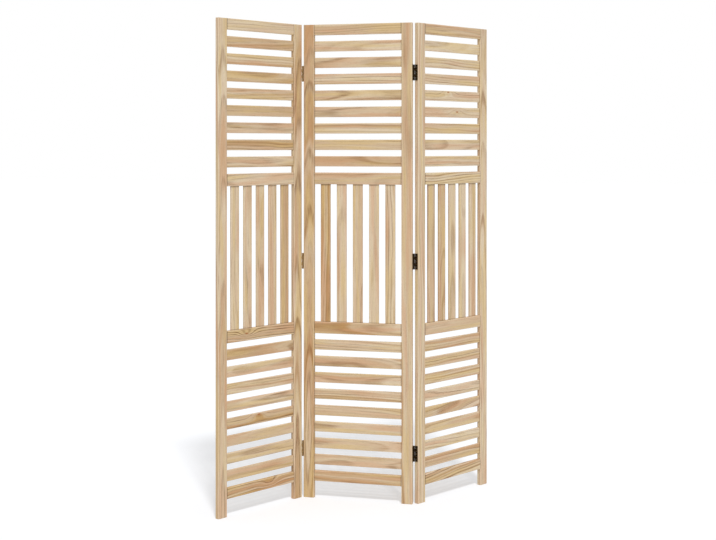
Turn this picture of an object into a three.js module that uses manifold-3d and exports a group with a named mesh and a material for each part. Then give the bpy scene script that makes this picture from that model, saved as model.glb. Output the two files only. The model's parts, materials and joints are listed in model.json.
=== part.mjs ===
// A three-leaf folding screen of pale wood. Each panel is a frame of two stiles and four rails,
// filled with level slats above and below and with upright slats in the middle. Butt hinges
// with interleaved knuckles join the panels in a zigzag. Millimetres, +Z up. The origin is on
// the floor under the middle of the centre panel, which lies along X with its front at -Y.
import * as THREE from "three";
import { mergeVertices } from "three/addons/utils/BufferGeometryUtils.js";
import Module from "manifold-3d";

const wasm = await Module();
wasm.setup();

// Frame of one panel.
const panelHeight = 1700;
const panelWidth = 400;
const frameThickness = 16;
const stileWidth = 39;
const topRailHeight = 38;
const midRailHeight = 42;
const bottomRailHeight = 37;
const footHeight = 61;

// Slats that fill the three fields of a panel.
const slatThickness = 8;
const crossSlatHeight = 37;
const crossSlatCount = 8;
const uprightSlatWidth = 36;
const uprightSlatCount = 5;

// Joints in the wood: rails have shouldered tenons, slats are housed at their full section.
const tenonThickness = 8;
const tenonLength = 14;
const tenonShoulder = 5;
const slatHousing = 9;
const glueGap = 0.3;

// Eased arrises along the boards and round the ends of the stiles.
const edgeRadius = 1.5;
const endChamfer = 1;

// Butt hinges. Each leaf lies on the edge of a stile, with its knuckles past the stile's face.
const foldFromFlat = THREE.MathUtils.degToRad(62.5);
const hingeLength = 56;
const hingeInset = 176; // from the middle of a hinge to the nearer end of the panel
const leftMiddleHingeRaise = 0.5; // from the middle of the panel up to the middle hinge
const rightMiddleHingeRaise = 5.5; // the right fold's is set a little higher
const leafWidth = 15; // from the pin's axis
const leafThickness = 1.2;
const leafCornerRadius = 1.5;
const knuckleRadius = 3;
const knuckleCount = 5;
const knuckleGap = 0.3; // between neighbouring knuckles
const notchGap = 0.3; // from a leaf's notch to the other leaf's knuckle
const pinClearance = 0.08;
const pinOverhang = 0.6;
const pinChamfer = 0.4;
const leafSeatGap = 0.3; // from a leaf's back to the stile
const axisProud = 0.6; // from the stile's face to the pin's axis
const screwsPerLeaf = 3;
const screwHoleRadius = 1.6;
const countersinkRadius = 2.8;
const screwInset = 9; // from the first and last screw to the leaf's ends

const cornerSteps = 1;
const knuckleSteps = 6;
const pinSides = 12;
const holeSides = 10;
const cutMargin = 0.3; // how far a cutter reaches past the face that it opens

// The three fields share the height that the rails and the foot leave.
const railHeights = topRailHeight + 2 * midRailHeight + bottomRailHeight;
const fieldHeight = (panelHeight - footHeight - railHeights) / 3;
const fieldWidth = panelWidth - 2 * stileWidth;
const crossGap = (fieldHeight - crossSlatCount * crossSlatHeight) / (crossSlatCount + 1);
const uprightGap = (fieldWidth - uprightSlatCount * uprightSlatWidth) / (uprightSlatCount + 1);

const lowerFieldZ = footHeight + bottomRailHeight;
const lowerMidRailZ = lowerFieldZ + fieldHeight;
const uprightFieldZ = lowerMidRailZ + midRailHeight;
const upperMidRailZ = uprightFieldZ + fieldHeight;
const upperFieldZ = upperMidRailZ + midRailHeight;
const topRailZ = upperFieldZ + fieldHeight;

const edgeToAxis = knuckleRadius + leafSeatGap;
const pinHoleRadius = knuckleRadius - leafThickness;
const pinRadius = pinHoleRadius - pinClearance;
const foldAxis = new THREE.Vector2(-panelWidth / 2 - edgeToAxis, -frameThickness / 2 - axisProud);

const frameWood = new THREE.MeshStandardMaterial({
  color: 0xd8be97,
  roughness: 0.62,
  metalness: 0,
  flatShading: true,
});
const slatWood = new THREE.MeshStandardMaterial({
  color: 0xdcc19a,
  roughness: 0.66,
  metalness: 0,
  flatShading: true,
});
const hingeBronze = new THREE.MeshStandardMaterial({
  color: 0x4a3a28,
  roughness: 0.42,
  metalness: 0.9,
  flatShading: true,
});
const pinSteel = new THREE.MeshStandardMaterial({
  color: 0x5a4a36,
  roughness: 0.35,
  metalness: 0.9,
  flatShading: true,
});

// A closed geometry as a solid that can be joined and cut.
function solidOf(geometry) {
  geometry.deleteAttribute("normal");
  geometry.deleteAttribute("uv");
  const merged = mergeVertices(geometry, 1e-4);
  return new wasm.Manifold(
    new wasm.Mesh({
      numProp: 3,
      vertProperties: merged.attributes.position.array,
      triVerts: new Uint32Array(merged.index.array),
    }),
  );
}

function meshOf(name, solid, material) {
  const { vertProperties, triVerts } = solid.getMesh();
  const geometry = new THREE.BufferGeometry();
  geometry.setAttribute("position", new THREE.BufferAttribute(vertProperties, 3));
  geometry.setIndex(new THREE.BufferAttribute(triVerts, 1));
  const mesh = new THREE.Mesh(geometry, material);
  mesh.name = name;
  return mesh;
}

// A rectangle about the origin with rounded corners.
function easedRectangle(width, height, radius) {
  const x = width / 2 - radius;
  const y = height / 2 - radius;
  const quarter = Math.PI / 2;
  const shape = new THREE.Shape();
  shape.absarc(x, y, radius, 0, quarter);
  shape.absarc(-x, y, radius, quarter, 2 * quarter);
  shape.absarc(-x, -y, radius, 2 * quarter, 3 * quarter);
  shape.absarc(x, -y, radius, 3 * quarter, 4 * quarter);
  return shape;
}

// A board along Z from z = 0, centred in X and Y, with eased long edges and chamfered ends.
function uprightBoard(width, thickness, length, chamfer) {
  const geometry = new THREE.ExtrudeGeometry(easedRectangle(width, thickness, edgeRadius), {
    depth: length - 2 * chamfer,
    curveSegments: cornerSteps,
    bevelEnabled: chamfer > 0,
    bevelThickness: chamfer,
    bevelSize: chamfer,
    bevelOffset: -chamfer,
    bevelSegments: 1,
  });
  return geometry.translate(0, 0, chamfer);
}

// A board along X, centred in X and Y, with its lower edge at the height z.
function levelBoard(length, thickness, height, z) {
  return uprightBoard(height, thickness, length, 0)
    .rotateY(Math.PI / 2)
    .translate(-length / 2, 0, z + height / 2);
}

// A square-edged block centred in X and Y that rises from the height z.
function block(length, thickness, height, z) {
  return new THREE.BoxGeometry(length, thickness, height).translate(0, 0, z + height / 2);
}

// A block larger than the given one by the glue gap on every side: what it leaves when cut away.
function socketFor(length, thickness, height, z) {
  const grown = [length, thickness, height].map((size) => size + 2 * glueGap);
  return solidOf(block(...grown, z - glueGap));
}

// A rail fits between the stiles, and one bar through it makes both its tenons.
function tenonSizes(rail) {
  const length = fieldWidth + 2 * tenonLength;
  return [length, tenonThickness, rail.height - 2 * tenonShoulder, rail.z + tenonShoulder];
}

function railSolid(rail) {
  const body = solidOf(levelBoard(fieldWidth - 2 * glueGap, frameThickness, rail.height, rail.z));
  return body.add(solidOf(block(...tenonSizes(rail))));
}

function crossSlatSizes(z) {
  return [fieldWidth + 2 * slatHousing, slatThickness, crossSlatHeight, z];
}

function crossSlatSolid(z) {
  return solidOf(levelBoard(...crossSlatSizes(z)));
}

const uprightLength = fieldHeight + 2 * slatHousing;

function uprightSlatSolid(x) {
  const board = uprightBoard(uprightSlatWidth, slatThickness, uprightLength, 0);
  return solidOf(board.translate(x, 0, uprightFieldZ - slatHousing));
}

function uprightSocket(x) {
  const sizes = [uprightSlatWidth, slatThickness, uprightLength, uprightFieldZ - slatHousing];
  return socketFor(...sizes).translate([x, 0, 0]);
}

const rails = {
  top: { height: topRailHeight, z: topRailZ },
  upperMid: { height: midRailHeight, z: upperMidRailZ },
  lowerMid: { height: midRailHeight, z: lowerMidRailZ },
  bottom: { height: bottomRailHeight, z: footHeight },
};

// Heights of the level slats of a field, from its top down.
function crossSlatHeights(fieldZ) {
  return Array.from({ length: crossSlatCount }, (_, i) => {
    const above = (i + 1) * (crossSlatHeight + crossGap);
    return fieldZ + fieldHeight - above;
  });
}

const upperSlats = crossSlatHeights(upperFieldZ);
const lowerSlats = crossSlatHeights(lowerFieldZ);
const uprights = Array.from({ length: uprightSlatCount }, (_, i) => {
  const middle = uprightGap + uprightSlatWidth / 2 + i * (uprightSlatWidth + uprightGap);
  return middle - fieldWidth / 2;
});

function cutAll(solid, cutters) {
  return cutters.reduce((left, cutter) => left.subtract(cutter), solid);
}

function joinAll(solid, others) {
  return others.reduce((whole, other) => whole.add(other), solid);
}

// A stile on side -1 (left) or +1 (right), with a mortise for each rail and a socket for each
// slat in the list. A slat that the stile carries as one piece with it has no socket.
function stileSolid(side, housedSlats) {
  const x = side * (panelWidth / 2 - stileWidth / 2);
  const board = uprightBoard(stileWidth, frameThickness, panelHeight, endChamfer);
  const mortises = Object.values(rails).map((rail) => socketFor(...tenonSizes(rail)));
  const sockets = housedSlats.map((z) => socketFor(...crossSlatSizes(z)));
  return cutAll(solidOf(board.translate(x, 0, 0)), [...mortises, ...sockets]);
}

// The centre panel, with every board a piece of its own.
function centrePanel() {
  const panel = new THREE.Group();
  const slats = [...upperSlats, ...lowerSlats];
  const uprightSockets = uprights.map(uprightSocket);
  const put = (name, solid, material) => panel.add(meshOf(`centre_${name}`, solid, material));
  put("left_stile", stileSolid(-1, slats), frameWood);
  put("right_stile", stileSolid(1, slats), frameWood);
  put("top_rail", railSolid(rails.top), frameWood);
  put("upper_mid_rail", cutAll(railSolid(rails.upperMid), uprightSockets), frameWood);
  put("lower_mid_rail", cutAll(railSolid(rails.lowerMid), uprightSockets), frameWood);
  put("bottom_rail", railSolid(rails.bottom), frameWood);
  upperSlats.forEach((z, i) => put(`upper_slat_${i + 1}`, crossSlatSolid(z), slatWood));
  uprights.forEach((x, i) => put(`upright_slat_${i + 1}`, uprightSlatSolid(x), slatWood));
  lowerSlats.forEach((z, i) => put(`lower_slat_${i + 1}`, crossSlatSolid(z), slatWood));
  return panel;
}

// A side panel has the same boards, but its slats are joined to the board that carries them:
// the upper slats to the outer stile, the lower ones to the hinge stile, and the upright ones
// to the lower middle rail. Their free ends are housed as on the centre panel. The panel is
// drawn in line with the centre one, with its hinge stile on the right.
function sidePanel(side) {
  const panel = new THREE.Group();
  const uprightSockets = uprights.map(uprightSocket);
  const outerStile = joinAll(stileSolid(-1, lowerSlats), upperSlats.map(crossSlatSolid));
  const hingeStile = joinAll(stileSolid(1, upperSlats), lowerSlats.map(crossSlatSolid));
  const slattedRail = joinAll(railSolid(rails.lowerMid), uprights.map(uprightSlatSolid));
  const put = (name, solid) => panel.add(meshOf(`${side}_${name}`, solid, frameWood));
  put("outer_stile_with_upper_slats", outerStile);
  put("hinge_stile_with_lower_slats", hingeStile);
  put("top_rail", railSolid(rails.top));
  put("upper_mid_rail", cutAll(railSolid(rails.upperMid), uprightSockets));
  put("lower_mid_rail_with_upright_slats", slattedRail);
  put("bottom_rail", railSolid(rails.bottom));
  return panel;
}

// Section of a knuckle and the strip of leaf that it is rolled from. The pin's axis is the
// origin, and the leaf runs along +Y with its back at x = knuckleRadius.
function knuckleSection(reach) {
  const inner = pinHoleRadius;
  const meeting = Math.acos(inner / knuckleRadius);
  const shape = new THREE.Shape();
  shape.moveTo(inner, reach);
  shape.lineTo(knuckleRadius, reach);
  shape.lineTo(knuckleRadius, 0);
  shape.absarc(0, 0, knuckleRadius, 0, meeting - 2 * Math.PI, true);
  shape.lineTo(inner, reach);
  const bore = new THREE.Path();
  bore.absarc(0, 0, pinHoleRadius, 0, 2 * Math.PI);
  shape.holes.push(bore);
  return shape;
}

const knucklePitch = (hingeLength + knuckleGap) / knuckleCount;
const notchReach = knuckleRadius + notchGap;

// One leaf, centred on z = 0, with the knuckles whose number is of the given parity: 0 for the
// first, third and fifth, and 1 for the second and fourth.
function leafSolid(parity) {
  const plateWidth = leafWidth - notchReach;
  const outline = easedRectangle(plateWidth, hingeLength, leafCornerRadius);
  const plate = new THREE.ExtrudeGeometry(outline, {
    depth: leafThickness,
    curveSegments: cornerSteps,
    bevelEnabled: false,
  });
  // The outline's width becomes Y, its height Z and its depth X.
  plate.rotateX(Math.PI / 2);
  plate.rotateZ(Math.PI / 2);
  plate.translate(pinHoleRadius, notchReach + plateWidth / 2, 0);
  const numbers = Array.from({ length: knuckleCount }, (_, i) => i).filter((i) => i % 2 === parity);
  const knuckles = numbers.map((number) => {
    const section = knuckleSection(notchReach + 2 * leafCornerRadius);
    const knuckle = new THREE.ExtrudeGeometry(section, {
      depth: knucklePitch - knuckleGap,
      curveSegments: knuckleSteps,
      bevelEnabled: false,
    });
    return solidOf(knuckle.translate(0, 0, number * knucklePitch - hingeLength / 2));
  });
  const holes = Array.from({ length: screwsPerLeaf }, (_, i) => {
    const share = i / (screwsPerLeaf - 1);
    const z = (share - 0.5) * (hingeLength - 2 * screwInset);
    return screwHole(notchReach + plateWidth / 2, z);
  });
  return cutAll(joinAll(solidOf(plate), knuckles), holes);
}

// A countersunk hole along X: wide at the leaf's open face and narrow at its back.
function screwHole(y, z) {
  const slope = (countersinkRadius - screwHoleRadius) / leafThickness;
  const spread = slope * cutMargin;
  const cone = new THREE.CylinderGeometry(
    screwHoleRadius - spread,
    countersinkRadius + spread,
    leafThickness + 2 * cutMargin,
    holeSides,
  );
  cone.rotateZ(-Math.PI / 2);
  return solidOf(cone.translate(pinHoleRadius + leafThickness / 2, y, z));
}

// The pin fills the knuckles with a running clearance, and its chamfered ends stand proud.
function pinSolid() {
  const half = hingeLength / 2 + pinOverhang;
  const profile = [
    new THREE.Vector2(0, -half),
    new THREE.Vector2(pinRadius - pinChamfer, -half),
    new THREE.Vector2(pinRadius, -half + pinChamfer),
    new THREE.Vector2(pinRadius, half - pinChamfer),
    new THREE.Vector2(pinRadius - pinChamfer, half),
    new THREE.Vector2(0, half),
  ];
  return solidOf(new THREE.LatheGeometry(profile, pinSides).rotateX(Math.PI / 2));
}

const centreLeaf = leafSolid(0);
const sideLeaf = leafSolid(1).rotate([0, 180, 0]);
const pin = pinSolid();

function hingeHeights(middleRaise) {
  return {
    top: panelHeight - hingeInset,
    middle: panelHeight / 2 + middleRaise,
    bottom: hingeInset,
  };
}

// The hinges of one fold and the panel that swings on them, drawn for the left-hand side.
function wing(side, middleHingeRaise) {
  const group = new THREE.Group();
  const swinging = new THREE.Group();
  swinging.position.set(foldAxis.x, foldAxis.y, 0);
  swinging.rotation.z = foldFromFlat;
  for (const [place, z] of Object.entries(hingeHeights(middleHingeRaise))) {
    const name = `${side}_${place}_hinge`;
    const fixedLeaf = meshOf(`${name}_centre_leaf`, centreLeaf, hingeBronze);
    fixedLeaf.position.set(foldAxis.x, foldAxis.y, z);
    const hingePin = meshOf(`${name}_pin`, pin, pinSteel);
    hingePin.position.copy(fixedLeaf.position);
    const movingLeaf = meshOf(`${name}_side_leaf`, sideLeaf, hingeBronze);
    movingLeaf.position.z = z;
    group.add(fixedLeaf, hingePin);
    swinging.add(movingLeaf);
  }
  const panel = sidePanel(side);
  panel.position.set(foldAxis.x, -foldAxis.y, 0);
  swinging.add(panel);
  group.add(swinging);
  return group;
}

const screen = new THREE.Group();
screen.add(centrePanel());
const leftWing = wing("left", leftMiddleHingeRaise);
const rightWing = wing("right", rightMiddleHingeRaise);
rightWing.rotation.z = Math.PI; // the right fold is the left one turned half way round
screen.add(leftWing, rightWing);

export default screen;
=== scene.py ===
import json
import math

import bmesh
import bpy
import numpy as np
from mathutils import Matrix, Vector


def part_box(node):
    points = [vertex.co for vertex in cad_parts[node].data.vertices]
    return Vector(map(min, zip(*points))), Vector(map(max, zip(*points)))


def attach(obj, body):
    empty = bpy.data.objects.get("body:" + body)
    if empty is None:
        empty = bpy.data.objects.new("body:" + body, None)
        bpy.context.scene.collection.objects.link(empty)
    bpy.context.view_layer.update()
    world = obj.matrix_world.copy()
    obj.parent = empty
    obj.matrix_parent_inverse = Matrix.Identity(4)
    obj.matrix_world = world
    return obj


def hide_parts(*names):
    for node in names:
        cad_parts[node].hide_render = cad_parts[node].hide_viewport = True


# A folding screen of sanded paulownia boards on antique bronze butt hinges.
# Every board, leaf, pin and screw is a piece of its own, made in metres where it stands.

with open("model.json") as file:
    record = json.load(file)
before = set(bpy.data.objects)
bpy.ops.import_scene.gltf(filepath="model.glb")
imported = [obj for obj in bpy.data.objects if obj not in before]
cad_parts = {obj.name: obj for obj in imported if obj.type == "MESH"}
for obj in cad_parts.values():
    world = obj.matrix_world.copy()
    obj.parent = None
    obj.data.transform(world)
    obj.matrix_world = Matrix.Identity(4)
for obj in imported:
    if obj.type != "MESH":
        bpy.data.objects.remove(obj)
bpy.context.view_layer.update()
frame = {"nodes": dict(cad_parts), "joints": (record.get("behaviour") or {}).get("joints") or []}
print("frame loaded with", len(frame["nodes"]), "solids")

mm = 0.001


# sRGB to linear: c / 12.92 up to 0.04045, and ((c + 0.055) / 1.055) ^ 2.4 above it.
def linearColour(hexColour):
    channels = [int(hexColour[i : i + 2], 16) / 255 for i in (1, 3, 5)]
    linear = [c / 12.92 if c <= 0.04045 else ((c + 0.055) / 1.055) ** 2.4 for c in channels]
    return (*linear, 1.0)


# Adds a node with its settings, fills its inputs with values or links, and gives one output.
def addNode(tree, kind, inputs=None, output=0, **settings):
    node = tree.nodes.new(kind)
    for key, value in settings.items():
        setattr(node, key, value)
    for key, value in (inputs or {}).items():
        if isinstance(value, bpy.types.NodeSocket):
            tree.links.new(value, node.inputs[key])
        else:
            node.inputs[key].default_value = value
    return node.outputs[output] if node.outputs else node


# An empty material and its node tree.
def newMaterial(name):
    material = bpy.data.materials.new(name)
    material.use_nodes = True
    material.node_tree.nodes.clear()
    return material, material.node_tree


# Paulownia, sanded and lacquered matt: cream to pinkish tan in soft bands that run with the
# growth rings, each ring ending in one darker line, with long soft fibres and short pores.
# A board's place in its log gives the rings, so some faces show arches and others long lines.
paulownia = {
    "cream": "#e1d0b4",
    "tan": "#b98f5b",
    "blush": "#d4a37c",
    "straw": "#dcbf84",
    "ringBrown": "#855c33",
    "poreBrown": "#76532f",
    "wornEdge": "#efdcc0",
    "jointShadow": "#4f3720",
    "knotCore": "#a8622c",
    "ringWidth": 9 * mm,  # paulownia grows fast
    "ringDepth": 0.55,  # how dark the boldest ring lines are
    "lateWood": 0.82,  # where in its width a ring is darkest
    "faintestRing": 0.04,
    "bandWidth": 15 * mm,
    "bandContrast": 1.7,
    "wander": 32 * mm,  # how far the rings wander from true circles
    "fibre": 2.4 * mm,  # real fibres are ten times finer, too fine to show in the render
    "fibreDark": 0.3,
    "pore": 0.7 * mm,  # real pores are 0.2 mm wide
    "poreDark": 0.3,
    "knotSpread": 15 * mm,
    "knotStretch": 0.4,  # a knot's bulge is longer along the grain
    "knotPush": 1.3,  # how far it pushes the rings, in spreads
    "knotCoreRadius": (1.5 * mm, 4 * mm),  # dark up to the first, faded out at the second
    "knotDark": 0.85,
    "blushShare": 0.5,
    "strawShare": 0.6,
    "rubShare": (0.1, 0.45),  # least and most that the edges are rubbed pale
    "jointDark": 0.55,
    # Repeats in a metre along the grain and across it.
    "fibresAlong": 6,
    "poresAlong": 90,
    "wanderScale": (2.4, 8, 8),
    "cloudScale": (3.2, 45, 45),
    "rubScale": (14, 60, 60),
    # Any large numbers do: they set one board's rings and bands apart from the next one's.
    "ringSeedStep": 61.7,
    "bandSeedStep": 43.0,
    "grainDepth": 0.12 * mm,
    "roughness": (0.5, 0.66),
}


# Cream wood with each layer mixed over it by its own share: bands, blush and straw clouds,
# ring lines, fibres, pores, a knot's core, rubbed edges and painted shade at the joints.
def sandedPaulownia(name, look):
    material, tree = newMaterial(name)
    place = addNode(tree, "ShaderNodeAttribute", output="Vector", attribute_name="logPlace")
    knot = addNode(tree, "ShaderNodeAttribute", output="Vector", attribute_name="knotPlace")
    seed = addNode(tree, "ShaderNodeAttribute", output="Fac", attribute_name="boardSeed")
    tone = addNode(tree, "ShaderNodeAttribute", output="Fac", attribute_name="boardTone")
    figure = addNode(tree, "ShaderNodeAttribute", output="Fac", attribute_name="boardFigure")
    arris = addNode(tree, "ShaderNodeAttribute", output="Fac", attribute_name="arris")
    joint = addNode(tree, "ShaderNodeAttribute", output="Fac", attribute_name="jointShade")

    stretch = (look["fibresAlong"], 1 / look["fibre"], 1 / look["fibre"])
    along = addNode(tree, "ShaderNodeMapping", {"Vector": place, "Scale": stretch})
    fibres = addNode(tree, "ShaderNodeTexNoise", {"Vector": along, "Scale": 1.0, "Detail": 3.0})
    inputs = {"Value": fibres, "From Min": 0.48, "From Max": 0.8, "To Max": look["fibreDark"]}
    fibreShade = addNode(tree, "ShaderNodeMapRange", inputs, interpolation_type="SMOOTHSTEP")

    # A knot pushes the rings outwards round it, most at its middle: exp(-(d / spread)^2).
    stretch = (look["knotStretch"], 1, 1)
    nearKnot = addNode(tree, "ShaderNodeMapping", {"Vector": knot, "Scale": stretch})
    fromKnot = addNode(tree, "ShaderNodeVectorMath", {0: nearKnot}, "Value", operation="LENGTH")
    inputs = {0: fromKnot, 1: look["knotSpread"]}
    bulge = addNode(tree, "ShaderNodeMath", inputs, operation="DIVIDE")
    bulge = addNode(tree, "ShaderNodeMath", {0: bulge, 1: bulge}, operation="MULTIPLY")
    bulge = addNode(tree, "ShaderNodeMath", {0: bulge, 1: -1.0}, operation="MULTIPLY")
    bulge = addNode(tree, "ShaderNodeMath", {0: bulge}, operation="EXPONENT")

    # Ring number: (distance from the pith + wander + knot's bulge) / ring width.
    across = addNode(tree, "ShaderNodeMapping", {"Vector": place, "Scale": (0, 1, 1)})
    distance = addNode(tree, "ShaderNodeVectorMath", {0: across}, "Value", operation="LENGTH")
    flowing = addNode(tree, "ShaderNodeMapping", {"Vector": place, "Scale": look["wanderScale"]})
    wander = addNode(tree, "ShaderNodeTexNoise", {"Vector": flowing, "Scale": 1.0, "Detail": 2.0})
    inputs = {0: wander, 1: look["wander"], 2: distance}
    distance = addNode(tree, "ShaderNodeMath", inputs, operation="MULTIPLY_ADD")
    inputs = {0: bulge, 1: look["knotSpread"] * look["knotPush"], 2: distance}
    distance = addNode(tree, "ShaderNodeMath", inputs, operation="MULTIPLY_ADD")
    count = addNode(tree, "ShaderNodeMath", {0: distance, 1: look["ringWidth"]}, operation="DIVIDE")

    # Each ring darkens smoothly up to its late wood and fades again faster, by its own share
    # of the board's figure, and the fibres break the dark into streaks.
    phase = addNode(tree, "ShaderNodeMath", {0: count}, operation="FRACT")
    inputs = {"Value": phase, "From Min": 0.4, "From Max": look["lateWood"]}
    rise = addNode(tree, "ShaderNodeMapRange", inputs, interpolation_type="SMOOTHERSTEP")
    inputs = {"Value": phase, "From Min": 1.0, "From Max": look["lateWood"]}
    fall = addNode(tree, "ShaderNodeMapRange", inputs, interpolation_type="SMOOTHSTEP")
    line = addNode(tree, "ShaderNodeMath", {0: rise, 1: fall}, operation="MULTIPLY")
    ring = addNode(tree, "ShaderNodeMath", {0: count}, operation="FLOOR")
    inputs = {0: seed, 1: look["ringSeedStep"], 2: ring}
    ring = addNode(tree, "ShaderNodeMath", inputs, operation="MULTIPLY_ADD")
    strength = addNode(tree, "ShaderNodeTexWhiteNoise", {"W": ring}, noise_dimensions="1D")
    inputs = {0: strength, 1: look["ringDepth"], 2: look["faintestRing"]}
    strength = addNode(tree, "ShaderNodeMath", inputs, operation="MULTIPLY_ADD")
    line = addNode(tree, "ShaderNodeMath", {0: line, 1: strength}, operation="MULTIPLY")
    inputs = {"Value": fibres, "From Min": 0.35, "From Max": 0.65, "To Min": 0.35, "To Max": 1.5}
    streaks = addNode(tree, "ShaderNodeMapRange", inputs)
    line = addNode(tree, "ShaderNodeMath", {0: line, 1: streaks}, operation="MULTIPLY")
    inputs = {0: line, 1: figure}
    line = addNode(tree, "ShaderNodeMath", inputs, operation="MULTIPLY", use_clamp=True)

    # Broad bands run with the rings, and slow clouds of blush and straw lie along the board.
    band = addNode(tree, "ShaderNodeMath", {0: distance, 1: look["bandWidth"]}, operation="DIVIDE")
    inputs = {0: seed, 1: look["bandSeedStep"], 2: band}
    band = addNode(tree, "ShaderNodeMath", inputs, operation="MULTIPLY_ADD")
    inputs = {"W": band, "Scale": 1.0, "Detail": 3.0, "Roughness": 0.65}
    band = addNode(tree, "ShaderNodeTexNoise", inputs, noise_dimensions="1D")
    inputs = {0: band, 1: look["bandContrast"], 2: -look["bandContrast"] / 2}
    band = addNode(tree, "ShaderNodeMath", inputs, operation="MULTIPLY_ADD")
    band = addNode(tree, "ShaderNodeMath", {0: band, 1: figure, 2: tone}, operation="MULTIPLY_ADD")
    clouds = addNode(tree, "ShaderNodeMapping", {"Vector": place, "Scale": look["cloudScale"]})
    clouds = addNode(tree, "ShaderNodeTexNoise", {"Vector": clouds, "Scale": 1.0, "Detail": 2.0})
    inputs = {"Value": clouds, "From Min": 0.46, "From Max": 0.68, "To Max": look["blushShare"]}
    blush = addNode(tree, "ShaderNodeMapRange", inputs, interpolation_type="SMOOTHSTEP")
    inputs = {"Value": clouds, "From Min": 0.54, "From Max": 0.32, "To Max": look["strawShare"]}
    straw = addNode(tree, "ShaderNodeMapRange", inputs, interpolation_type="SMOOTHSTEP")

    stretch = (look["poresAlong"], 1 / look["pore"], 1 / look["pore"])
    along = addNode(tree, "ShaderNodeMapping", {"Vector": place, "Scale": stretch})
    pores = addNode(tree, "ShaderNodeTexNoise", {"Vector": along, "Scale": 1.0, "Detail": 1.0})
    inputs = {"Value": pores, "From Min": 0.6, "From Max": 0.72}
    pores = addNode(tree, "ShaderNodeMapRange", inputs, interpolation_type="SMOOTHSTEP")
    inputs = {0: pores, 1: look["poreDark"]}
    poreShade = addNode(tree, "ShaderNodeMath", inputs, operation="MULTIPLY")

    # A knot's dark core, edges rubbed pale by hands in places, and painted shade along each joint.
    dark, faded = look["knotCoreRadius"]
    inputs = {"Value": fromKnot, "From Min": faded, "From Max": dark, "To Max": look["knotDark"]}
    core = addNode(tree, "ShaderNodeMapRange", inputs, interpolation_type="SMOOTHSTEP")
    hands = addNode(tree, "ShaderNodeMapping", {"Vector": place, "Scale": look["rubScale"]})
    hands = addNode(tree, "ShaderNodeTexNoise", {"Vector": hands, "Scale": 1.0, "Detail": 2.0})
    low, high = look["rubShare"]
    inputs = {"Value": hands, "From Min": 0.35, "From Max": 0.65, "To Min": low, "To Max": high}
    rubbed = addNode(tree, "ShaderNodeMapRange", inputs)
    rubbed = addNode(tree, "ShaderNodeMath", {0: rubbed, 1: arris}, operation="MULTIPLY")
    inputs = {0: joint, 1: look["jointDark"]}
    jointDark = addNode(tree, "ShaderNodeMath", inputs, operation="MULTIPLY")

    wood = linearColour(look["cream"])
    layers = [
        (band, "tan"),
        (blush, "blush"),
        (straw, "straw"),
        (line, "ringBrown"),
        (fibreShade, "ringBrown"),
        (poreShade, "poreBrown"),
        (core, "knotCore"),
        (rubbed, "wornEdge"),
        (jointDark, "jointShadow"),
    ]
    for share, colour in layers:
        inputs = {0: share, 6: wood, 7: linearColour(look[colour])}
        wood = addNode(tree, "ShaderNodeMix", inputs, 2, data_type="RGBA")

    # The fibres stand up and the pores sink in.
    inputs = {0: pores, 1: -0.6, 2: fibres}
    height = addNode(tree, "ShaderNodeMath", inputs, operation="MULTIPLY_ADD")
    inputs = {"Height": height, "Distance": look["grainDepth"], "Strength": 0.5}
    bump = addNode(tree, "ShaderNodeBump", inputs)
    low, high = look["roughness"]
    inputs = {"Value": fibres, "From Min": 0.2, "From Max": 0.8, "To Min": low, "To Max": high}
    roughness = addNode(tree, "ShaderNodeMapRange", inputs)
    inputs = {
        "Base Color": wood,
        "Roughness": roughness,
        "IOR": 1.5,
        "Specular IOR Level": 0.4,
        "Normal": bump,
    }
    shader = addNode(tree, "ShaderNodeBsdfPrincipled", inputs)
    addNode(tree, "ShaderNodeOutputMaterial", {"Surface": shader})
    return material


frameWood = sandedPaulownia("sandedPaulowniaFrame", paulownia)
slatWood = sandedPaulownia("sandedPaulowniaSlat", dict(paulownia, ringDepth=0.5))

# Steel with a dark antique bronze plating: nearly black brown, uneven in tone, and rubbed to
# a warmer metal along its edges and where the knuckles turn.
bronze = {
    "dark": "#0f0903",
    "warm": "#21150a",
    "rubbed": "#a08258",
    "patch": 4 * mm,
    "scratch": 0.25 * mm,  # real scratches are finer, too fine to show
    "scratchStretch": 0.06,  # they run along the hinge
    "scratchDepth": 0.02 * mm,
    "rubShare": 1.5,
    "metallic": 0.85,
    "roughness": (0.34, 0.52),
}


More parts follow.
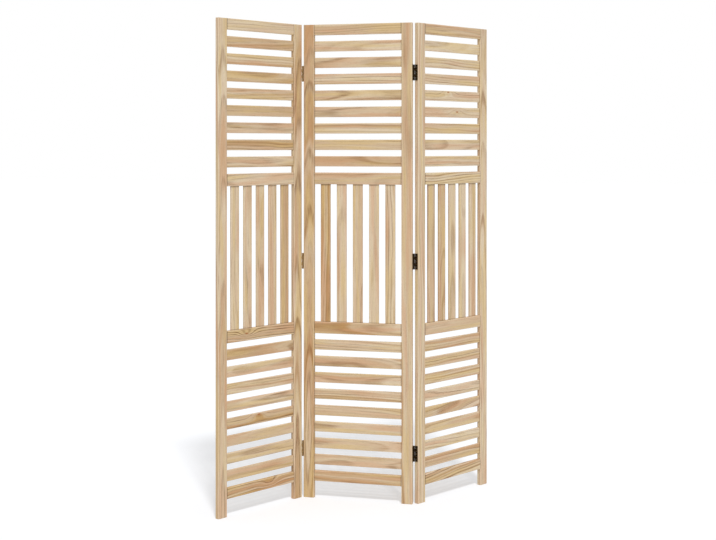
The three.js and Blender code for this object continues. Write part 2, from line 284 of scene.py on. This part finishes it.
# Plating from dark to warm in patches, mixed with rubbed metal by rub * patch * rub share.
# Scratches along the hinge vary its gloss.
def antiqueBronze(name, look):
    material, tree = newMaterial(name)
    place = addNode(tree, "ShaderNodeTexCoord", output="Object")
    rub = addNode(tree, "ShaderNodeAttribute", output="Fac", attribute_name="rub")
    inputs = {"Vector": place, "Scale": 1 / look["patch"], "Detail": 3.0}
    patches = addNode(tree, "ShaderNodeTexNoise", inputs)
    stretch = (1, 1, look["scratchStretch"])
    along = addNode(tree, "ShaderNodeMapping", {"Vector": place, "Scale": stretch})
    inputs = {"Vector": along, "Scale": 1 / look["scratch"], "Detail": 2.0}
    scratches = addNode(tree, "ShaderNodeTexNoise", inputs)
    inputs = {"Value": patches, "From Min": 0.35, "From Max": 0.65}
    shade = addNode(tree, "ShaderNodeMapRange", inputs)
    inputs = {0: shade, 6: linearColour(look["dark"]), 7: linearColour(look["warm"])}
    plating = addNode(tree, "ShaderNodeMix", inputs, 2, data_type="RGBA")
    worn = addNode(tree, "ShaderNodeMath", {0: rub, 1: patches}, operation="MULTIPLY")
    inputs = {0: worn, 1: look["rubShare"]}
    worn = addNode(tree, "ShaderNodeMath", inputs, operation="MULTIPLY", use_clamp=True)
    inputs = {0: worn, 6: plating, 7: linearColour(look["rubbed"])}
    plating = addNode(tree, "ShaderNodeMix", inputs, 2, data_type="RGBA")
    low, high = look["roughness"]
    gloss = addNode(tree, "ShaderNodeMapRange", {"Value": scratches, "To Min": low, "To Max": high})
    inputs = {"Height": scratches, "Distance": look["scratchDepth"], "Strength": 0.4}
    bump = addNode(tree, "ShaderNodeBump", inputs)
    inputs = {
        "Base Color": plating,
        "Metallic": look["metallic"],
        "Roughness": gloss,
        "Normal": bump,
    }
    shader = addNode(tree, "ShaderNodeBsdfPrincipled", inputs)
    addNode(tree, "ShaderNodeOutputMaterial", {"Surface": shader})
    return material


leafBronze = antiqueBronze("antiqueBronzeLeaf", dict(bronze, rubShare=2.0))
pinBronze = antiqueBronze("antiqueBronzePin", bronze)
screwLook = dict(bronze, dark="#2c2015", warm="#4d3b26", rubShare=1.3)
screwBronze = antiqueBronze("antiqueBronzeScrew", screwLook)
print("materials made")


# Quads between neighbouring points of a grid whose columns run round and meet again, with one
# flat face over each end.
def tubeFaces(rows, columns):
    index = np.arange(rows * columns).reshape(rows, columns)
    after = np.roll(index, -1, axis=1)
    quads = np.stack([index[:-1], after[:-1], after[1:], index[1:]], axis=-1)
    return quads.reshape(-1, 4).tolist() + [index[0][::-1].tolist(), index[-1].tolist()]


# Puts points, faces and values per point into a new object's mesh. Grids that touch are joined.
def addPiece(name, points, faces, material, values, sharpAngle=40):
    mesh = bpy.data.meshes.new(name)
    mesh.from_pydata(points.reshape(-1, 3).tolist(), [], faces)
    for key, value in values.items():
        kind, field = ("FLOAT_VECTOR", "vector") if value.shape[-1] == 3 else ("FLOAT", "value")
        attribute = mesh.attributes.new(key, kind, "POINT")
        attribute.data.foreach_set(field, value.astype(np.float32).ravel())
    shell = bmesh.new()
    shell.from_mesh(mesh)
    bmesh.ops.remove_doubles(shell, verts=shell.verts, dist=0.001 * mm)
    bmesh.ops.recalc_face_normals(shell, faces=shell.faces)
    shell.to_mesh(mesh)
    shell.free()
    mesh.shade_smooth()
    mesh.set_sharp_from_angle(angle=math.radians(sharpAngle))
    mesh.materials.append(material)
    piece = bpy.data.objects.new(name, mesh)
    bpy.context.scene.collection.objects.link(piece)
    return piece


# Section of a board or strip: a rectangle with rounded corners. Each column is a corner's
# signs, the direction out from that corner's centre, and a step back along the flat beside it,
# which keeps the shading of the rounding off the flat. The last array is 1 on the rounding.
def roundedSection(steps):
    quarter = np.linspace(0, math.pi / 2, steps + 1)
    turns = np.concatenate([[0], quarter, [math.pi / 2]])
    turns = np.concatenate([turns + k * math.pi / 2 for k in range(4)])
    back = np.tile(np.concatenate([[-1], np.zeros(steps + 1), [1]]), 4)
    signs = np.repeat([[1, 1], [-1, 1], [-1, -1], [1, -1]], steps + 3, axis=0)
    outward = np.stack([np.cos(turns), np.sin(turns)], axis=-1)
    slide = np.stack([-np.sin(turns), np.cos(turns)], axis=-1) * back[:, None]
    return signs, outward, slide, 1 - np.abs(back)


# Section points at each station: sign * (half size - radius) + radius * direction + step back.
def sectionPoints(section, halfSizes, radii, step):
    signs, outward, slide, _ = section
    core = halfSizes - radii[:, None]
    return signs * core[:, None] + outward * radii[:, None, None] + slide * step


# Turns points about Z: x cos a - y sin a, x sin a + y cos a.
def turned(points, degrees):
    c, s = math.cos(math.radians(degrees)), math.sin(math.radians(degrees))
    return points @ np.array([[c, s, 0], [-s, c, 0], [0, 0, 1]])


# Smooth step: 0 below low, 1 above high, and t^2 (3 - 2 t) between.
def smoothStep(x, low, high):
    t = np.clip((x - low) / (high - low), 0, 1)
    return t * t * (3 - 2 * t)


boardShape = {
    "frameThickness": 16 * mm,
    "arrisRadius": 1.7 * mm,
    "leastRadius": 0.15 * mm,  # on a tenon
    "endRadius": 1 * mm,
    "endFlat": 5 * mm,  # from a stile's end to where its shading is flat
    "arrisSteps": 4,
    "endSteps": 4,
    "flatStep": 1.2 * mm,
    "jointGap": 0.12 * mm,  # between a rail's shoulder and its stile
    "tenonThickness": 8 * mm,
    "tenonShoulder": 5 * mm,
    "jointShade": 4 * mm,  # how far the painted shade of a joint reaches along a board
}
boardSection = roundedSection(boardShape["arrisSteps"])


# Stations along a board: place, how much smaller the half section is, and the joint's
# painted shade.
# At a free end the section shrinks by r * (1 - sin t) as it moves out by r * cos t, for t from
# 0 to 90 degrees, which rounds the end. At a joint the board goes on into its neighbour.
def boardStations(halfLength, shoulder, kind):
    shape = boardShape
    if kind == "stile":
        t = np.linspace(0, math.pi / 2, shape["endSteps"] + 1)
        shrink = shape["endRadius"] * (1 - np.sin(t))
        reach = halfLength - shape["endRadius"] * (1 - np.cos(t))
        inner = np.array([halfLength - shape["endFlat"], halfLength * 0.5])
        places = np.concatenate([reach, inner])
        shrinks = np.stack([np.concatenate([shrink, [0, 0]])] * 2, axis=-1)
        shade = np.zeros(len(places))
    elif kind == "rail":
        edge = shoulder - shape["jointGap"]
        places = np.array([halfLength, edge, edge, edge - shape["jointShade"], edge * 0.5])
        tenon = [shape["tenonShoulder"], (shape["frameThickness"] - shape["tenonThickness"]) / 2]
        shrinks = np.array([tenon, tenon, [0, 0], [0, 0], [0, 0]])
        shade = np.array([1, 1, 1, 0, 0])
    else:
        places = np.array([halfLength, shoulder, shoulder - shape["jointShade"], shoulder * 0.5])
        shrinks = np.zeros((4, 2))
        shade = np.array([1, 1, 0, 0])
    places = np.concatenate([-places, places[::-1]])
    return places, np.concatenate([shrinks, shrinks[::-1]]), np.concatenate([shade, shade[::-1]])


# A board is its section carried along its length. Its place in the log is its own place moved
# off the pith and sheared a little, so that the grain isn't quite true to the board.
def boardPiece(name, box, kind, shoulder, character, place):
    low, high = box
    upright = kind in ("stile", "upright")
    order = [2, 0, 1] if upright else [0, 2, 1]
    half = ((high - low) / 2)[order]
    places, shrinks, shade = boardStations(half[0], shoulder, kind)
    halfSizes = half[1:] - shrinks
    shrunk = shrinks.max(axis=1)
    radii = np.maximum(boardShape["arrisRadius"] - shrunk, boardShape["leastRadius"])
    flat = sectionPoints(boardSection, halfSizes, radii, boardShape["flatStep"])
    along = np.broadcast_to(places[:, None], flat.shape[:2])
    local = np.stack([along, flat[..., 0], flat[..., 1]], axis=-1)

    c = character
    sheared = local[..., 1:] - along[..., None] * np.array(c["slope"])
    fromPith = sheared - np.array(c["pith"]) * mm
    log = np.concatenate([along[..., None] + c["shift"], fromPith], axis=-1)
    knot = np.array(c["knot"]) * mm
    ends = (shrunk > 0) & (kind == "stile")
    arris = np.maximum(boardSection[3][None], ends[:, None] * 1.0) * (shade[:, None] < 1)
    values = {
        "logPlace": log,
        "knotPlace": local - knot,
        "arris": arris,
        "jointShade": np.broadcast_to(shade[:, None], arris.shape),
        "boardTone": np.full(arris.shape, c["tone"]),
        "boardFigure": np.full(arris.shape, c["figure"]),
        "boardSeed": np.full(arris.shape, c["seed"]),
    }
    standing = local[..., np.argsort(order)] + (low + high) / 2
    material = slatWood if kind in ("slat", "upright") else frameWood
    return addPiece(name, place(standing), tubeFaces(*arris.shape), material, values)


# How the boards are sawn from their logs. Lengths in millimetres from the board's middle.
sawing = {
    "flatSawnShare": 0.5,
    "flatPith": ((-14, 14), (20, 60)),  # where the pith lies across and through the board
    "edgePith": ((35, 90), (5, 50)),  # on either side
    "slope": (0.025, 0.045),  # steepest grain across and through the board
    "tone": (0.32, 0.09),  # mean and spread
    "figure": (0.7, 1.3),
    "logLength": 40,  # metres of pattern to take boards from
    "noKnot": (900, 900, 900),  # too far off to show
    "seed": 5,
}


# How one board was sawn: where the pith runs beside it, how far the grain slopes across and
# through it, its tone from 0 pale to 1 tan, how strong its figure is, and a knot.
def sawnFrom(seed, known):
    rng = np.random.default_rng(seed)
    side = rng.choice([-1, 1])
    flatSawn = rng.random() < sawing["flatSawnShare"]
    across, through = sawing["flatPith"]
    pith = (rng.uniform(*across), side * rng.uniform(*through))
    if not flatSawn:
        across, through = sawing["edgePith"]
        pith = (rng.choice([-1, 1]) * rng.uniform(*across), side * rng.uniform(*through))
    character = {
        "pith": pith,
        "slope": tuple(rng.uniform(-steepest, steepest) for steepest in sawing["slope"]),
        "tone": float(np.clip(rng.normal(*sawing["tone"]), 0, 1)),
        "figure": rng.uniform(*sawing["figure"]),
        "shift": rng.uniform(0, sawing["logLength"]),
        "seed": rng.random(),
        "knot": sawing["noKnot"],
    }
    return dict(character, **known)


# The wings are the centre panel's boards again, swung about the fold axes. The right wing is
# the left one turned half way round.
fold = {"fromFlat": 62.5, "turns": {"left": 0, "right": 180}}
foldAxes = {joint["child"][: -len("_panel")]: joint["pos_m"] for joint in frame["joints"]}


# From a wing drawn in line with the centre panel to where it stands: move the fold's axis to
# the middle, turn by the fold, move back, and turn by the side.
def wingPlace(side):
    axis = np.array([foldAxes["left"][0], foldAxes["left"][1], 0])
    inLine = axis * [1, -1, 1]
    swing, halfTurn = fold["fromFlat"], fold["turns"][side]
    return lambda points: turned(turned(points + inLine, swing) + axis, halfTurn)


boardNames = ["left_stile", "right_stile"]
boardNames += ["top_rail", "upper_mid_rail", "lower_mid_rail", "bottom_rail"]
boardNames += [f"upper_slat_{i}" for i in range(1, 9)]
boardNames += [f"upright_slat_{i}" for i in range(1, 6)]
boardNames += [f"lower_slat_{i}" for i in range(1, 9)]

# Boards that stand out by their tone, their figure or a knot; the rest follow from their seeds.
knownBoards = {
    "left_outer_stile": {"pith": (2, 22), "slope": (0.004, 0.03), "figure": 1.0, "tone": 0.22},
    "left_hinge_stile": {"tone": 0.38, "figure": 1.3},
    "left_top_rail": {"tone": 0.08, "figure": 0.7},
    "left_lower_mid_rail": {"tone": 0.45, "figure": 1.6, "knot": (-70, 4, -7)},
    "left_bottom_rail": {"tone": 0.62, "figure": 1.7, "knot": (40, 4, -4), "slope": (0.04, 0.03)},
    "left_upper_slat_1": {"tone": 0.5},
    "left_upper_slat_7": {"tone": 0.6},
    "left_upright_slat_2": {"tone": 0.15},
    "left_upright_slat_5": {"tone": 0.6},
    "left_lower_slat_1": {"tone": 0.45},
    "left_lower_slat_5": {"tone": 0.42, "figure": 1.6, "knot": (-8, 13, -4), "slope": (0.04, 0.02)},
    "left_lower_slat_7": {"tone": 0.0},
    "left_lower_slat_8": {"tone": 0.48},
    "centre_left_stile": {"tone": 0.6, "figure": 1.1, "pith": (4, 24), "slope": (0.01, 0.055)},
    "centre_right_stile": {"tone": 0.5, "figure": 1.1},
    "centre_lower_mid_rail": {"tone": 0.52, "figure": 1.3},
    "centre_bottom_rail": {"tone": 0.65},
    "centre_upper_slat_1": {"tone": 0.12},
    "centre_upper_slat_3": {"tone": 0.2},
    "centre_upright_slat_1": {"tone": 0.8},
    "centre_upright_slat_4": {"tone": 0.2},
    "centre_upright_slat_5": {"tone": 0.2},
    "centre_lower_slat_8": {"tone": 0.45},
    "right_hinge_stile": {"tone": 0.1},
    "right_top_rail": {"tone": 0.5},
    "right_bottom_rail": {"tone": 0.5, "figure": 2.2, "pith": (-34, 30), "slope": (-0.07, 0.02)},
    "right_upper_slat_1": {"tone": 0.0},
    "right_upper_slat_4": {"tone": 0.15, "knot": (26, 14, 3)},
    "right_upper_slat_5": {"knot": (-26, 2, 4)},
    "right_upright_slat_4": {"tone": 0.6},
    "right_upright_slat_5": {"tone": 0.6},
    "right_lower_slat_1": {"tone": 0.5},
    "right_lower_slat_4": {"tone": 0.0},
    "right_lower_slat_5": {"tone": 0.42, "figure": 1.9, "slope": (-0.13, 0.02)},
    "right_lower_slat_7": {"tone": 0.1},
    "right_lower_slat_8": {"tone": 0.5},
}

# On a wing, the solid that holds each board.
wingSolids = {
    "left_stile": "outer_stile_with_upper_slats",
    "upper_slat": "outer_stile_with_upper_slats",
    "right_stile": "hinge_stile_with_lower_slats",
    "lower_slat": "hinge_stile_with_lower_slats",
    "upright_slat": "lower_mid_rail_with_upright_slats",
    "lower_mid_rail": "lower_mid_rail_with_upright_slats",
}
wingNames = {"left_stile": "outer_stile", "right_stile": "hinge_stile"}

centreBoxes = {name: [np.array(c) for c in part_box("centre_" + name)] for name in boardNames}
fieldHalfWidth = centreBoxes["right_stile"][0][0]
fieldHalfHeight = (centreBoxes["upper_mid_rail"][0][2] - centreBoxes["lower_mid_rail"][1][2]) / 2

for panelNumber, panel in enumerate(("left", "centre", "right")):
    place = wingPlace(panel) if panel != "centre" else lambda points: points
    for boardNumber, name in enumerate(boardNames):
        family = name.rstrip("_12345678")
        kind = {"upright_slat": "upright"}.get(family, family.split("_")[-1])
        shoulder = fieldHalfHeight if kind == "upright" else fieldHalfWidth
        solid = name if panel == "centre" else wingSolids.get(family, name)
        key = f"{panel}_{name}" if panel == "centre" else f"{panel}_{wingNames.get(name, name)}"
        seed = [panelNumber, boardNumber, sawing["seed"]]
        character = sawnFrom(seed, knownBoards.get(key, {}))
        board = boardPiece(key + "_board", centreBoxes[name], kind, shoulder, character, place)
        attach(board, panel + "_panel")
        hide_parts(f"{panel}_{solid}")
print("boards made:", 3 * len(boardNames))


# Sizes of one hinge. Its own frame has the pin along Z and a leaf running along +Y, with the
# leaf's back at x = knuckleRadius.
hingeShape = {
    "length": 56 * mm,
    "leafWidth": 15 * mm,
    "thickness": 1.2 * mm,
    "knuckleRadius": 3 * mm,
    "knuckles": 5,
    "knuckleGap": 0.3 * mm,
    "notchReach": 3.3 * mm,
    "cornerRadius": 1.5 * mm,
    "pinRadius": 1.72 * mm,
    "pinProud": 0.6 * mm,
    "pinSides": 32,
    "arrisRadius": 0.2 * mm,
    "flatStep": 0.25 * mm,
    "rollEnd": 305,  # degrees round the pin at which the rolled strip meets the leaf
    "rollSteps": 30,
    "screws": 3,
    "screwInset": 9 * mm,
    "holeRadius": 1.6 * mm,
    "countersink": 2.8 * mm,
    "countersinkLip": 0.3 * mm,
    "faceInset": 0.12,  # share of the way to the hole at which the face's shading is flat
    # The knuckles' rub is scaled per fold to paint light and shade: the left fold's knuckles, which
    # face the light, are painted paler, and the right fold's, in shade inside their fold, darker.
    "knuckleRubAndLight": {"left": 1.25, "right": 0.12},  # painted light: left fold's knuckles paler, right's darker
}
screwShape = {
    "headRadius": 2.7 * mm,
    "headSunk": 0.03 * mm,  # into the leaf's open face
    "neckRadius": 1.45 * mm,
    "length": 11 * mm,
    "recessHalfWidth": 0.42 * mm,
    "recessReach": 1.7 * mm,
    "recessDepth": 0.8 * mm,
    "recessEase": 0.12 * mm,
    "recessFade": 0.9 * mm,
    "taperFrom": 7 * mm,
    "tipFrom": 9 * mm,
    "tipRadius": 0.1 * mm,
    "sides": 48,
    "seed": 31,  # for how far each one is turned
}


# One third of the plate round a screw hole. The columns go round the cell's border and the
# hole alike; the rows go from the border inwards over the open face, down the countersink and
# back out over the leaf's back. Near the plate's free corners the border follows an arc: each
# of its points there keeps its share of the corner's 90 degrees.
def plateCell(number):
    h = hingeShape
    halfWidth = (h["leafWidth"] - h["notchReach"]) / 2
    halfCell = h["length"] / h["screws"] / 2
    cellZ = (number - (h["screws"] - 1) / 2) * 2 * halfCell
    middle = np.array([h["notchReach"] + halfWidth, cellZ])
    r = h["cornerRadius"]

    near = np.array([0, r / 3, 2 * r / 3])
    sides = []
    for across, half in enumerate((halfCell, halfWidth, halfCell, halfWidth)):
        between = np.linspace(r - half, half - r, 5)
        along = np.concatenate([near - half, between, half - near[:0:-1]])
        out = np.full(len(along), halfWidth if across % 2 == 0 else halfCell)
        sides.append([(out, along), (-along, out), (-out, -along), (along, -out)][across])
    border = np.concatenate([np.stack(side, axis=-1) for side in sides]) + middle

    corner = np.array([h["leafWidth"] - r, h["length"] / 2 - r])
    past = np.maximum(np.stack([border[:, 0], np.abs(border[:, 1])], axis=-1) - corner, 0)
    low, high = past.min(axis=1), np.maximum(past.max(axis=1), 1e-9)
    share = np.radians(45) * low / high
    angle = np.where(past[:, 0] >= past[:, 1], share, np.pi / 2 - share)
    arc = corner + r * np.stack([np.cos(angle), np.sin(angle)], axis=-1)
    arc[:, 1] *= np.sign(border[:, 1])
    border = np.where((low > 0)[:, None], arc, border)

    count = len(border)
    turn = np.radians(-45) + np.arange(count) / count * 2 * np.pi
    hole = np.stack([np.cos(turn), np.sin(turn)], axis=-1)
    screwZ = (number / (h["screws"] - 1) - 0.5) * (h["length"] - 2 * h["screwInset"])
    holeMiddle = np.array([middle[0], screwZ])
    front, back = h["knuckleRadius"] - h["thickness"], h["knuckleRadius"]
    # Each row: its outline, how far it lies from the pin's axis, and how rubbed it is.
    rows = [
        (border, front, 1.0),
        (border + (holeMiddle - border) * h["faceInset"], front, 0.1),
        (holeMiddle + hole * (h["countersink"] + h["countersinkLip"]), front, 0.1),
        (holeMiddle + hole * h["countersink"], front, 0.9),
        (holeMiddle + hole * h["holeRadius"], back, 0.2),
        (border, back, 0.3),
    ]
    points = np.stack([np.concatenate([np.full((count, 1), x), yz], axis=1) for yz, x, _ in rows])
    rub = np.stack([np.full(count, value) for _, _, value in rows])
    index = np.arange(points.shape[0] * count).reshape(-1, count)
    after = np.roll(index, -1, axis=1)
    quads = np.stack([index[:-1], after[:-1], after[1:], index[1:]], axis=-1).reshape(-1, 4)
    side = np.arange(count) // (count // 4)
    atTop, atBottom = number == h["screws"] - 1, number == 0
    outer = (side % 2 == 0) | ((side == 1) & atTop) | ((side == 3) & atBottom)
    walls = np.stack([index[-1], after[-1], after[0], index[0]], axis=-1)[outer]
    return points.reshape(-1, 3), np.concatenate([quads, walls]).tolist(), rub.ravel()


# A knuckle is the leaf's strip rolled round the pin: straight along the leaf to the pin's
# height and then clockwise on a circle of its middle radius.
def knuckleStrip(number):
    h = hingeShape
    middle = h["knuckleRadius"] - h["thickness"] / 2
    pitch = (h["length"] + h["knuckleGap"]) / h["knuckles"]
    turn = -np.radians(np.linspace(0, h["rollEnd"], h["rollSteps"]))
    straight = np.stack([np.full(3, middle), np.linspace(h["notchReach"], 0, 4)[:3]], axis=-1)
    rolled = np.stack([np.cos(turn), np.sin(turn)], axis=-1) * middle
    path = np.concatenate([straight, rolled])
    outward = np.concatenate([np.tile([1.0, 0.0], (3, 1)), rolled / middle])
    section = roundedSection(3)
    halfSizes = np.tile([(pitch - h["knuckleGap"]) / 2, h["thickness"] / 2], (len(path), 1))
    radii = np.full(len(path), h["arrisRadius"])
    flat = sectionPoints(section, halfSizes, radii, h["flatStep"])
    z = number * pitch - h["length"] / 2 + (pitch - h["knuckleGap"]) / 2 + flat[..., 0]
    xy = path[:, None] + outward[:, None] * flat[..., 1:]
    rub = 0.8 + 0.2 * np.broadcast_to(section[3], z.shape)  # rubbed all over, edges most
    return np.concatenate([xy, z[..., None]], axis=-1), rub


# Several grids as one: each grid's faces count on from the points before it.
def joinedGrids(parts):
    points, faces, rub, start = [], [], [], 0
    for partPoints, partFaces, partRub in parts:
        points.append(partPoints.reshape(-1, 3))
        faces += [[i + start for i in face] for face in partFaces]
        rub.append(np.ravel(partRub))
        start += len(points[-1])
    return np.concatenate(points), faces, {"rub": np.concatenate(rub)}


# A leaf is its three plate cells and every second knuckle, from its own first one on. Its last
# argument scales how rubbed the knuckles are and paints its fold's light and shade on them.
def leafPiece(name, firstKnuckle, knuckleRubAndLight, place):
    parts = [plateCell(number) for number in range(hingeShape["screws"])]
    for number in range(firstKnuckle, hingeShape["knuckles"], 2):
        points, rub = knuckleStrip(number)
        parts.append((points, tubeFaces(*rub.shape), np.minimum(rub * knuckleRubAndLight, 1)))
    points, faces, values = joinedGrids(parts)
    return addPiece(name, place(points), faces, leafBronze, values)


# A turned piece: radius * cos t, radius * sin t and height, for t all round, at each point of
# its profile.
def turnedPoints(radii, heights, sides):
    turn = np.arange(sides) / sides * 2 * np.pi
    x, y = np.cos(turn) * radii[:, None], np.sin(turn) * radii[:, None]
    return np.stack([x, y, np.broadcast_to(heights[:, None], x.shape)], axis=-1)


# The pin's ends are domes: radius * cos t, height + proud * sin t.
def pinPiece(name, place):
    h = hingeShape
    t = np.radians([0, 20, 40, 60, 75, 86])
    radii = h["pinRadius"] * np.cos(t)
    heights = h["length"] / 2 + h["pinProud"] * np.sin(t)
    radii = np.concatenate([radii[::-1], radii])
    heights = np.concatenate([-heights[::-1], heights])
    points = turnedPoints(radii, heights, h["pinSides"])
    onEnd = (np.abs(heights) > h["length"] / 2)[:, None]
    rub = np.broadcast_to(onEnd * 0.8 + 0.2, points.shape[:2])
    return addPiece(name, place(points), tubeFaces(*rub.shape), pinBronze, {"rub": rub})


# A countersunk screw with its head outwards along -X. The recess is a cross cut into the
# head: depth * max(bar(y) * end(z), bar(z) * end(y)), where both fall off by a smooth step.
def screwPiece(name, z, turn, place):
    s, h = screwShape, hingeShape
    # Rings lie close together where the recess is cut, and wider apart outside it.
    rings = np.concatenate([np.linspace(0.1, 1.9, 10), [2.2, 2.5]]) * mm
    top = turnedPoints(rings, np.zeros(len(rings)), s["sides"])
    yz = np.abs(top[..., :2])
    wide, ease = s["recessHalfWidth"], s["recessEase"]
    bar = 1 - smoothStep(yz, wide - ease, wide + ease)
    end = 1 - smoothStep(yz, s["recessReach"] - s["recessFade"], s["recessReach"])
    cross = np.maximum(bar[..., 0] * end[..., 1], bar[..., 1] * end[..., 0])
    top[..., 2] = -s["recessDepth"] * cross
    # From the head's rim, rolled over by 0.2 mm, down the shank to its tip.
    rim = [s["headRadius"] - 0.12 * mm, s["headRadius"], s["headRadius"] - 0.08 * mm]
    neck = [s["neckRadius"], s["neckRadius"], s["neckRadius"] * 0.8, s["tipRadius"]]
    radii = np.array(rim + neck)
    rimDepths = [0, 0.1 * mm, 0.2 * mm]
    heights = -np.array([*rimDepths, h["thickness"], s["taperFrom"], s["tipFrom"], s["length"]])
    shank = turnedPoints(radii, heights, s["sides"])
    points = np.concatenate([top, shank])
    rub = np.concatenate([np.full(len(rings), 0.5), [1, 1, 0.5, 0, 0, 0, 0]])
    rub = np.broadcast_to(rub[:, None], points.shape[:2]).copy()
    rub[: len(rings)] += top[..., 2] / s["recessDepth"] * 0.5
    points = turned(points, turn)
    face = h["knuckleRadius"] - h["thickness"] + s["headSunk"]
    middleY = (h["notchReach"] + h["leafWidth"]) / 2
    x, y = face - points[..., 2], middleY + points[..., 0]
    points = np.stack([x, y, z + points[..., 1]], axis=-1)
    faces = tubeFaces(*rub.shape)
    return addPiece(name, place(points), faces, screwBronze, {"rub": rub}, sharpAngle=25)


screwRng = np.random.default_rng(screwShape["seed"])
for side in ("left", "right"):
    halfTurn = fold["turns"][side]
    for height in ("top", "middle", "bottom"):
        hinge = f"{side}_{height}_hinge"
        low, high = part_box(hinge + "_pin")
        axis = turned(np.array((low + high) / 2), -halfTurn)
        # The centre leaf stands as it is drawn; the side leaf is turned over and swung.
        fixed = lambda points: turned(points + axis, halfTurn)
        swung = lambda points: fixed(turned(points * [-1, 1, -1], fold["fromFlat"]))
        pin = pinPiece(hinge + "_pin_bronze", fixed)
        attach(pin, "centre_panel")
        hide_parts(hinge + "_pin")
        for leafSide, firstKnuckle, place in (("centre", 0, fixed), ("side", 1, swung)):
            body = "centre_panel" if leafSide == "centre" else side + "_panel"
            leafName = f"{hinge}_{leafSide}_leaf_bronze"
            leaf = leafPiece(leafName, firstKnuckle, hingeShape["knuckleRubAndLight"][side], place)
            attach(leaf, body)
            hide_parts(f"{hinge}_{leafSide}_leaf")
            for number in range(hingeShape["screws"]):
                share = number / (hingeShape["screws"] - 1) - 0.5
                z = share * (hingeShape["length"] - 2 * hingeShape["screwInset"])
                turn = screwRng.uniform(0, 90)
                screw = screwPiece(f"{hinge}_{leafSide}_screw_{number + 1}", z, turn, place)
                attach(screw, body)
print("hinges made: 6, with 36 screws")


studio = {
    "floorSeen": "#d0d2d6",  # a little blue, which evens out the warm light off the wood
    "floorBounce": "#e6e6e6",
    "floorLift": 0.37,  # what the camera sees beyond the light that falls on the floor
    "ambient": 0.62,
    "sunPower": 1.6,
    "sunSpread": 6,  # degrees, for a soft shadow
    "sunAzimuth": 26,
    "sunElevation": 54,
    "floorSize": 80,
}


# 1 for what is seen by the camera, in metal or through glass, and 0 for what only gives light:
# the greatest of the three rays' flags.
def seenDirectly(tree):
    rays = addNode(tree, "ShaderNodeLightPath").node.outputs
    inputs = {0: rays["Is Camera Ray"], 1: rays["Is Glossy Ray"]}
    seen = addNode(tree, "ShaderNodeMath", inputs, operation="MAXIMUM")
    inputs = {0: seen, 1: rays["Is Transmission Ray"]}
    return addNode(tree, "ShaderNodeMath", inputs, operation="MAXIMUM")


# A matt white studio floor. To the camera and in the plating it is plain white where no shadow
# falls, and it throws a little less light back at the screen.
floorMaterial, tree = newMaterial("mattStudioFloor")
seen = seenDirectly(tree)
bounce, plain = linearColour(studio["floorBounce"]), linearColour(studio["floorSeen"])
floorColour = addNode(tree, "ShaderNodeMix", {0: seen, 6: bounce, 7: plain}, 2, data_type="RGBA")
lift = addNode(tree, "ShaderNodeMath", {0: seen, 1: studio["floorLift"]}, operation="MULTIPLY")
inputs = {
    "Base Color": floorColour,
    "Roughness": 1.0,
    "Specular IOR Level": 0.0,
    "Emission Color": linearColour("#ffffff"),
    "Emission Strength": lift,
}
shader = addNode(tree, "ShaderNodeBsdfPrincipled", inputs)
addNode(tree, "ShaderNodeOutputMaterial", {"Surface": shader})

reach = studio["floorSize"] / 2
floorMesh = bpy.data.meshes.new("floor")
corners = [(-reach, -reach, 0), (reach, -reach, 0), (reach, reach, 0), (-reach, reach, 0)]
floorMesh.from_pydata(corners, [], [(0, 1, 2, 3)])
floorMesh.materials.append(floorMaterial)
floor = bpy.data.objects.new("floor", floorMesh)
bpy.context.scene.collection.objects.link(floor)

# The world is plain white to the camera and in the plating, and lights the screen a little less.
world = bpy.data.worlds.new("studioWorld")
bpy.context.scene.world = world
world.use_nodes = True
tree = world.node_tree
tree.nodes.clear()
inputs = {"Value": seenDirectly(tree), "To Min": studio["ambient"], "To Max": 1.0}
level = addNode(tree, "ShaderNodeMapRange", inputs)
sky = addNode(tree, "ShaderNodeBackground", {"Color": linearColour("#ffffff"), "Strength": level})
addNode(tree, "ShaderNodeOutputWorld", {"Surface": sky})

sunLight = bpy.data.lights.new("softSun", "SUN")
sunLight.energy = studio["sunPower"]
sunLight.angle = math.radians(studio["sunSpread"])
sun = bpy.data.objects.new("softSun", sunLight)
fromAbove = math.radians(90 - studio["sunElevation"])
sun.rotation_euler = (fromAbove, 0, math.radians(studio["sunAzimuth"]))
bpy.context.scene.collection.objects.link(sun)

# The camera stands level with its horizon high in the picture, so upright lines stay upright.
view = {
    "place": (1.2654, -4.7206, 1.2683),  # metres
    "azimuth": 15.0,
    "focalPixels": 1369.41,
    "pictureWidth": 716,
    "horizonAbove": 125.23,  # pixels from the middle of the picture
}
camera = bpy.data.objects.new("camera", bpy.data.cameras.new("camera"))
camera.data.sensor_width = 36
camera.data.lens = view["focalPixels"] / view["pictureWidth"] * camera.data.sensor_width
camera.data.shift_y = -view["horizonAbove"] / view["pictureWidth"]
camera.location = view["place"]
camera.rotation_euler = (math.radians(90), 0, math.radians(view["azimuth"]))
bpy.context.scene.collection.objects.link(camera)
bpy.context.scene.camera = camera
bpy.context.scene.view_settings.view_transform = "Standard"
print("stage set")
